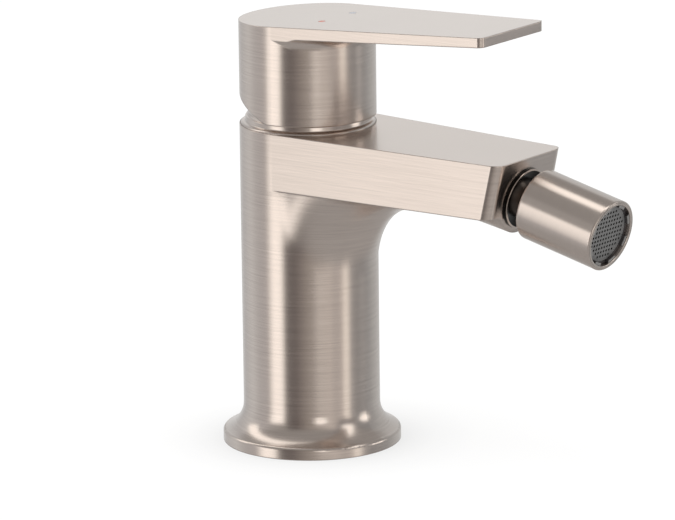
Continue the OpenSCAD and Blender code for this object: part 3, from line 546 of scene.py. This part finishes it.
light = sky.ramp(turn, [(stop(degrees), colour) for degrees, colour in WALLS])
light = sky.mix(sky.slope(height, 0.50, 0.64), light, CEILING)
light = sky.mix(sky.slope(height, -0.36, -0.62), light, GROUND)
# A darker patch of the wall on the right
shade = sky.product(beside(40, 50), beside(80, 70), sky.slope(height, -0.08, 0.06))
light = sky.mix(shade, light, SHADE)
# A tall soft box on the left
tall = sky.product(
    beside(-80, -64),
    beside(-43, -51),
    sky.slope(height, -0.46, -0.34),
    sky.slope(height, 0.29, 0.16),
)
light = sky.mix(tall, light, TALL_BOX)
# A long strip that arches overhead
across = along(ARCH_SIDE)
arch = sky.product(
    sky.slope(across, -0.06, 0.02),
    sky.slope(across, 0.33, 0.27),
    sky.slope(height, 0.27, 0.40),
)
light = sky.mix(arch, light, ARCH)
# Two small soft boxes level with the mixer
for direction in SMALL_BOXES:
    light = sky.mix(sky.slope(along(direction), 0.975, 0.990), light, SMALL_BOX)
studio = sky.add("Background")
sky.link(light, studio.inputs["Color"])
# The camera itself sees white paper
paper = sky.add("Background")
paper.inputs["Color"].default_value = rgba(1)
seen = sky.add("MixShader")
sky.link(sky.add("LightPath").outputs["Is Camera Ray"], seen.inputs["Fac"])
sky.link(studio.outputs[0], seen.inputs[1])
sky.link(paper.outputs[0], seen.inputs[2])
sky.link(seen.outputs[0], sky.add("OutputWorld").inputs["Surface"])

# Floor: white paper, the lamp's soft shadow, a painted contact shadow; reflections see the
# studio
FLOOR_HALF = 3
FLOOR_DROP = 0.02
FLOOR_GREY = 0.10
# Paper's glow by distance from the column's axis in millimetres, dimmed at the foot: painted
# shadow
PAINTED_SHADOW_REACH = 100
PAINTED_CONTACT_SHADOW = [(29, 0.78), (34, 0.83), (42, 0.88), (56, 0.92), (80, 0.94), (100, 0.945)]

floor_mesh = bpy.data.meshes.new("floor")
far, near = FLOOR_HALF, -FLOOR_HALF
floor_corners = [(near, near, 0), (far, near, 0), (far, far, 0), (near, far, 0)]
floor_mesh.from_pydata(floor_corners, [], [(0, 1, 2, 3)])
floor = bpy.data.objects.new("floor", floor_mesh)
scene.collection.objects.link(floor)
floor.location.z = -FLOOR_DROP * MM
paper_floor, tree = material("floor_paper")
matt = tree.add("BsdfDiffuse")
matt.inputs["Color"].default_value = rgba(FLOOR_GREY)
glow = tree.add("Emission")
away = tree.length(tree.add("TexCoord").outputs["Object"])
# Painted contact shadow: the paper's glow dims towards the foot
painted_contact_shadow = tree.ramp(
    tree.math("MULTIPLY", away, 1 / (PAINTED_SHADOW_REACH * MM)),
    [(distance / PAINTED_SHADOW_REACH, value) for distance, value in PAINTED_CONTACT_SHADOW],
)
tree.link(painted_contact_shadow, glow.inputs["Color"])
lit = tree.add("AddShader")
tree.link(matt.outputs[0], lit.inputs[0])
tree.link(glow.outputs[0], lit.inputs[1])
clear = tree.add("BsdfTransparent")
path = tree.add("LightPath").outputs
unseen = tree.math("MAXIMUM", path["Is Glossy Ray"], path["Is Transmission Ray"])
mixed = tree.add("MixShader")
tree.link(unseen, mixed.inputs["Fac"])
tree.link(lit.outputs[0], mixed.inputs[1])
tree.link(clear.outputs[0], mixed.inputs[2])
tree.link(mixed.outputs[0], tree.add("OutputMaterial").inputs["Surface"])
floor_mesh.materials.append(paper_floor)

# Lamp: lights matt surfaces and casts the shadow, and no reflection shows it
LAMP_PLACE = Vector((-0.2, -0.5, 1.6))
LAMP_ACROSS, LAMP_POWER = 0.9, 14

lamp_data = bpy.data.lights.new("top_lamp", "AREA")
lamp_data.shape, lamp_data.size, lamp_data.energy = "DISK", LAMP_ACROSS, LAMP_POWER
lamp = bpy.data.objects.new("top_lamp", lamp_data)
scene.collection.objects.link(lamp)
lamp.location = LAMP_PLACE
lamp.rotation_mode = "QUATERNION"
lamp.rotation_quaternion = LAMP_PLACE.to_track_quat("Z", "Y")
lamp.visible_glossy = False

# Camera at the photograph's angle, in degrees, metres and millimetres
CAMERA_AZIMUTH, CAMERA_ELEVATION, CAMERA_ROLL = 37.57, 14.03, -0.586
CAMERA_DISTANCE = 2.0
CAMERA_CENTRE = Vector((0.030, 0, 0.070))
# How far the picture's middle lies to the left of that centre and below it
CAMERA_LEFT, CAMERA_DOWN = 14.41, 4.05
LENS, SENSOR = 320.96, 36

camera_data = bpy.data.cameras.new("camera")
camera = bpy.data.objects.new("camera", camera_data)
scene.collection.objects.link(camera)
scene.camera = camera
turned_by = math.radians(CAMERA_AZIMUTH)
raised_by = math.radians(CAMERA_ELEVATION)
rolled_by = math.radians(CAMERA_ROLL)
right = Vector((math.cos(turned_by), math.sin(turned_by), 0))
back = Vector(
    (
        math.sin(turned_by) * math.cos(raised_by),
        -math.cos(turned_by) * math.cos(raised_by),
        math.sin(raised_by),
    )
)
up = back.cross(right)
side = math.cos(rolled_by) * right + math.sin(rolled_by) * up
rise = -math.sin(rolled_by) * right + math.cos(rolled_by) * up
camera.location = CAMERA_CENTRE + CAMERA_DISTANCE * back
aim = CAMERA_CENTRE - CAMERA_LEFT * MM * side - CAMERA_DOWN * MM * rise
back = (camera.location - aim).normalized()
side = rise.cross(back).normalized()
rise = back.cross(side)
camera.rotation_mode = "QUATERNION"
camera.rotation_quaternion = Matrix((side, rise, back)).transposed().to_quaternion()
camera_data.sensor_width = SENSOR
camera_data.lens = LENS
camera_data.clip_start, camera_data.clip_end = 0.1, 20
